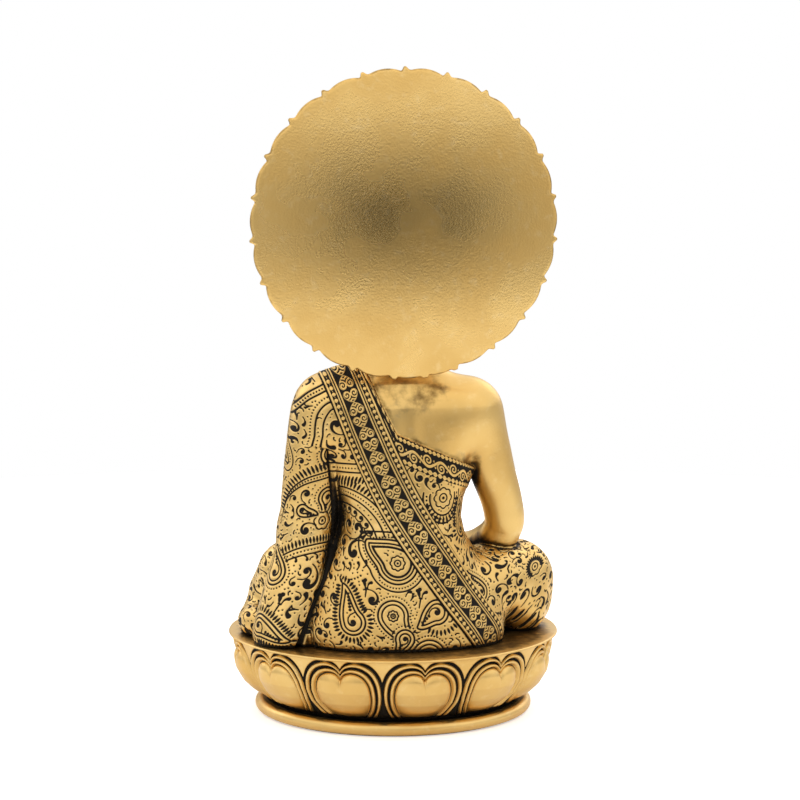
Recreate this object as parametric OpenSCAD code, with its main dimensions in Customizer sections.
/* [Overall] */
// Height of the whole statue, from the surface it stands on to the top of the halo
total_h = 280; // [275:1:300]

/* [Base] */
// Radius of the rim round the seat, the widest part of the statue
rim_r = 72; // [70:0.5:75]
// Height of the seat above the standing surface
seat_z = 35.3; // [34:0.1:38]
// Radius of the rolled edge of the foot
foot_r = 61; // [59:0.5:63]
// Thickness of the foot plate
foot_t = 5.5; // [5:0.1:6]
// Number of petals round the bowl
petal_count = 12; // [8:1:16]
// Thickness of the bowl's wall and of its seat
wall = 4; // [3:0.5:5]
// Thickness of the felt under the foot
felt_t = 1.5; // [1:0.1:2]

/* [Figure] */
// Height of the shoulders above the standing surface
shoulder_z = 151; // [148:0.5:153]
// Height of the crown of the head, under the topknot
crown_z = 211; // [208:0.5:214]
// Distance from the centre plane to the side of a knee
knee_x = 69; // [66:0.5:69.5]

/* [Halo] */
// Radius of the halo to the tips of its lobes
halo_r = 66; // [62:0.5:67]
// Thickness of the halo
halo_t = 3; // [2.5:0.1:4]
// Depth of the halo's dish, from the plane of its rim to its middle
halo_dish = 8; // [6:0.5:10]
// Distance from the statue's axis back to the middle of the halo's rear face
halo_back_y = 40; // [38:0.5:41]

/* [Fastening] */
// Radius of the screw that holds the figure to the base
screw_r = 3; // [2.5:0.5:4]
// Radius of the pins that stop the figure turning on its seat
pin_r = 2; // [1.5:0.25:2.5]
// Width of the halo's peg
peg_w = 8; // [6:0.5:9]
// Height of the halo's peg
peg_h = 5; // [4:0.5:6]
// Clearance on each side of the halo's peg in its socket
peg_gap = 0.1; // [0.05:0.05:0.15]

/* [Hidden] */
$fn = 96;
soft_fn = 24;           // sides of the balls that a hull wraps

felt_r = foot_r - 4;
felt_recess = felt_t - 0.5;
foot_z = felt_t - felt_recess;
foot_top = foot_z + foot_t;

head_r = 5.5;           // screw head
head_h = 3.6;
washer_t = 1.2;
washer_r = 8;
screw_hole_r = screw_r + 0.3;
collar_top = foot_top + 4;
washer_z = collar_top - 2.5 - washer_t;
pillar_r = 11;

neck_y = 10;
neck_r = 10.5;
neck_top = crown_z - 41;
neck_seat = shoulder_z + 5;
dowel_r = 2.5;
dowel_low = neck_seat - 18;
dowel_high = neck_seat + 18;

insert_r = 5;
insert_h = 14;
pin_x = 28;
pin_y = 12;
pin_low = seat_z - wall - 3;
pin_high = seat_z + 8;

halo_z = total_h - halo_r;
dish_steps = 9;
function dish_depth(r) = halo_dish * pow(r / halo_r, 2);
lobe_angle = 16;        // share of the scalloped edge that one lobe takes up
lobe_r = 9;
nub_r = 1.3;
peg_z = 196;
head_back = 24.6;       // rear of the head at the peg's height
boss_y = head_back + 0.7;
boss_r = 8;
peg_front = 8;
socket_wall = 1.5;

// Edge of the bowl from the recess over the foot up to the rim, as [radius, height]
bowl_low = [foot_r - 4, foot_top];
function bowl_r(t) = foot_r - 2 + (rim_r - foot_r - 0.5) * pow(sin(90 * t), 0.7);
function bowl_z(t) = foot_top + 2 + (seat_z - 4.5 - foot_top - 2) * t;
bowl_steps = 10;
bowl_edge = [for (i = [0:bowl_steps]) [bowl_r(i / bowl_steps), bowl_z(i / bowl_steps)]];

// Angles of the points between the halo's lobes: even, with two narrow lobes at the foot
nub_angles = [
    for (i = [0:11]) lobe_angle * i,
    180 + lobe_angle / 2,
    for (i = [10:-1:1]) 360 - lobe_angle * i
];

module ball(x, y, z, r) {
    translate([x, y, z]) sphere(r = r, $fn = soft_fn);
}

// Cuts away what would reach below the seat
module above_seat() {
    difference() {
        children();
        translate([-100, -100, seat_z - 60]) cube([200, 200, 60]);
    }
}

module felt_pad() {
    color("black") cylinder(r = felt_r - 0.3, h = felt_t);
}

module foot_plate() {
    color("goldenrod") difference() {
        union() {
            translate([0, 0, foot_z]) cylinder(r = foot_r - foot_t / 2, h = foot_t);
            rotate_extrude() translate([foot_r - foot_t / 2, foot_z + foot_t / 2]) circle(d = foot_t);
            cylinder(r = pillar_r + 3, h = collar_top);
        }
        translate([0, 0, -1]) cylinder(r = felt_r, h = felt_t + 1);
        cylinder(r = washer_r + 0.4, h = washer_z + washer_t);
        cylinder(r = screw_hole_r, h = collar_top + 1);
    }
}

module base_washer() {
    color("silver") translate([0, 0, washer_z]) difference() {
        cylinder(r = washer_r, h = washer_t);
        translate([0, 0, -1]) cylinder(r = screw_hole_r, h = washer_t + 2);
    }
}

module base_screw() {
    color("silver") difference() {
        union() {
            translate([0, 0, washer_z - head_h]) cylinder(r = head_r, h = head_h);
            translate([0, 0, washer_z - 1])
                cylinder(r = screw_r, h = seat_z + insert_h - washer_z - 1);
        }
        translate([0, 0, washer_z - head_h - 1]) cylinder(r = 1.5, h = 3, $fn = 6);
    }
}

module ballast_weight() {
    color("dimgray") translate([0, 0, foot_top]) difference() {
        cylinder(r = 42, h = 18);
        translate([0, 0, -1]) cylinder(r = pillar_r + 3.5, h = 20);
    }
}

module petal() {
    for (side = [-1, 1]) translate([rim_r - 13.5, side * 7, 22]) sphere(r = 12);
    translate([rim_r - 14, 0, 16]) sphere(r = 10);
}

module lotus_bowl() {
    color("goldenrod") difference() {
        union() {
            rotate_extrude() polygon(concat(
                [[0, foot_top], bowl_low], bowl_edge,
                [[rim_r - 1, seat_z - 3.2], [rim_r, seat_z - 1.2], [rim_r, seat_z], [0, seat_z]]
            ));
            for (i = [0:petal_count - 1]) rotate([0, 0, (i + 0.5) * 360 / petal_count]) petal();
        }
        difference() {
            translate([0, 0, foot_top - 1]) cylinder(r = foot_r - 10, h = seat_z - wall - foot_top + 1);
            cylinder(r = pillar_r, h = seat_z);
            for (side = [-1, 1])
                translate([side * pin_x, pin_y, pin_low - 2]) cylinder(r = pin_r + 3, h = 20);
        }
        translate([0, 0, foot_top - 1]) cylinder(r = pillar_r + 3, h = collar_top - foot_top + 1);
        cylinder(r = screw_hole_r, h = seat_z + 1);
        for (side = [-1, 1]) translate([side * pin_x, pin_y, pin_low]) cylinder(r = pin_r, h = 20);
    }
}

module locating_pins() {
    color("silver") for (side = [-1, 1]) {
        translate([side * pin_x, pin_y, pin_low]) cylinder(r = pin_r, h = pin_high - pin_low);
    }
}

module figure_insert() {
    color("gold") translate([0, 0, seat_z]) difference() {
        cylinder(r = insert_r, h = insert_h);
        translate([0, 0, -1]) cylinder(r = screw_r + 0.05, h = insert_h + 2);
    }
}

module torso() {
    hull() for (side = [-1, 1]) {
        ball(side * 12.5, 12.5, shoulder_z - 27, 23);
        ball(side * 28, 16, shoulder_z - 13, 12);
        ball(side * 4.5, 18, 82, 22.5);
        ball(side * 5, 24, 62, 22);
        ball(side * 5, neck_y + 2, shoulder_z - 5, 9);
    }
}

module hips() {
    hull() for (side = [-1, 1]) {
        ball(side * 27, 28, 48, 17);
        ball(side * 14, 36, 46, 16);
        ball(side * 20, 10, 56, 16);
    }
}

module sleeve() {
    hull() {
        ball(32, 18, shoulder_z - 14, 13);
        ball(39, 13, 92, 13);
        ball(44, 14, 62, 14);
        ball(48, 28, 44, 11);
    }
}

module upper_arm() {
    hull() {
        ball(-36, 18, shoulder_z - 14, 10.5);
        ball(-47.5, 14, 84, 8);
    }
}

module forearm() {
    hull() {
        ball(-46.5, 12, 80, 8);
        ball(-20, -27, 66, 7);
        ball(8, -30, 62, 7);
    }
}

module legs() {
    knee_r = 17;
    hull() for (side = [-1, 1]) {
        ball(side * (knee_x - knee_r), -2, 53, knee_r);
        ball(side * (knee_x - knee_r + 1), 0, 44, knee_r - 1);
        ball(side * 26, -34, 46, 15);
        ball(side * 30, 22, 48, 15);
    }
}

module hands() {
    hull() {
        ball(-8, -32, 62, 6);
        ball(14, -34, 61, 6);
        ball(0, -24, 60, 8);
    }
}

module figure_body() {
    color("goldenrod") difference() {
        above_seat() {
            torso();
            hips();
            sleeve();
            upper_arm();
            forearm();
            legs();
            hands();
            translate([0, neck_y, shoulder_z - 14])
                cylinder(r = neck_r + 1, h = neck_seat - shoulder_z + 14);
        }
        translate([0, 0, seat_z - 1]) cylinder(r = insert_r, h = insert_h + 1);
        for (side = [-1, 1])
            translate([side * pin_x, pin_y, seat_z - 1]) cylinder(r = pin_r, h = pin_high - seat_z + 1);
        translate([0, neck_y, dowel_low]) cylinder(r = dowel_r, h = 40);
    }
}

module neck_dowel() {
    color("silver") translate([0, neck_y, dowel_low]) cylinder(r = dowel_r, h = dowel_high - dowel_low);
}

module skull() {
    hull() {
        ball(0, -1, crown_z - 22, 16.5);
        ball(0, 7, crown_z - 19, 17.5);
        ball(0, -6, crown_z - 39, 9.5);
    }
}

module ear() {
    translate([17, 5, crown_z - 40]) cylinder(r = 2.6, h = 22);
    translate([17, 5, crown_z - 40]) sphere(r = 2.6);
    translate([17, 5, crown_z - 18]) sphere(r = 2.6);
}

module head() {
    color("goldenrod") difference() {
        union() {
            skull();
            translate([0, neck_y, neck_seat]) cylinder(r = neck_r, h = neck_top - neck_seat + 4);
            translate([0, 6, crown_z - 2]) sphere(r = 12);
            translate([0, 6, crown_z + 10]) sphere(r = 5);
            ear();
            mirror([1, 0, 0]) ear();
        }
        translate([0, neck_y, neck_seat - 1]) cylinder(r = dowel_r, h = dowel_high - neck_seat + 1);
        peg_block(socket_wall + peg_gap, peg_front - socket_wall, head_back + 5);
    }
}

// A bar along Y, the peg's section grown by a margin on every side
module peg_block(margin, front, back) {
    translate([-peg_w / 2 - margin, front, peg_z - peg_h / 2 - margin])
        cube([peg_w + 2 * margin, back - front, peg_h + 2 * margin]);
}

module halo_socket() {
    color("gold") difference() {
        peg_block(socket_wall + peg_gap, peg_front - socket_wall, head_back - 1);
        peg_block(peg_gap, peg_front - peg_gap, head_back + 1);
    }
}

module halo_peg() {
    color("gold") peg_block(0, peg_front, halo_back_y - halo_t - 1);
}

// Flat outline of the halo, with the points between its lobes
module halo_outline() {
    lobe_c = halo_r - lobe_r;
    circle(r = halo_r - 2.2);
    for (i = [0:len(nub_angles) - 1]) {
        next = nub_angles[(i + 1) % len(nub_angles)];
        middle = (nub_angles[i] + (next > nub_angles[i] ? next : next + 360)) / 2;
        rotate(90 - middle) translate([lobe_c, 0]) circle(r = lobe_r, $fn = 48);
        rotate(90 - nub_angles[i]) translate([halo_r - nub_r, 0]) circle(r = nub_r, $fn = 24);
    }
}

// Shallow dish round +Z, its rim standing higher than its middle
module dish() {
    far = halo_r + 3;
    rotate_extrude() polygon(concat(
        [for (i = [0:dish_steps]) [far * i / dish_steps, dish_depth(far * i / dish_steps)]],
        [for (i = [dish_steps:-1:0]) [far * i / dish_steps, dish_depth(far * i / dish_steps) + halo_t]]
    ));
}

module halo_disc() {
    color("gold") difference() {
        union() {
            intersection() {
                translate([0, halo_back_y, halo_z]) rotate([90, 0, 0])
                    translate([0, 0, -1]) linear_extrude(height = halo_dish + halo_t + 3) halo_outline();
                translate([0, halo_back_y, halo_z]) rotate([90, 0, 0]) dish();
            }
            translate([0, halo_back_y - halo_t / 2 - 1, peg_z]) rotate([90, 0, 0])
                cylinder(r = boss_r, h = halo_back_y - halo_t / 2 - 1 - boss_y);
        }
        peg_block(0, 0, halo_back_y - halo_t - 1);
    }
}

felt_pad();
foot_plate();
base_washer();
base_screw();
ballast_weight();
lotus_bowl();
locating_pins();
figure_insert();
figure_body();
neck_dowel();
head();
halo_socket();
halo_peg();
halo_disc();
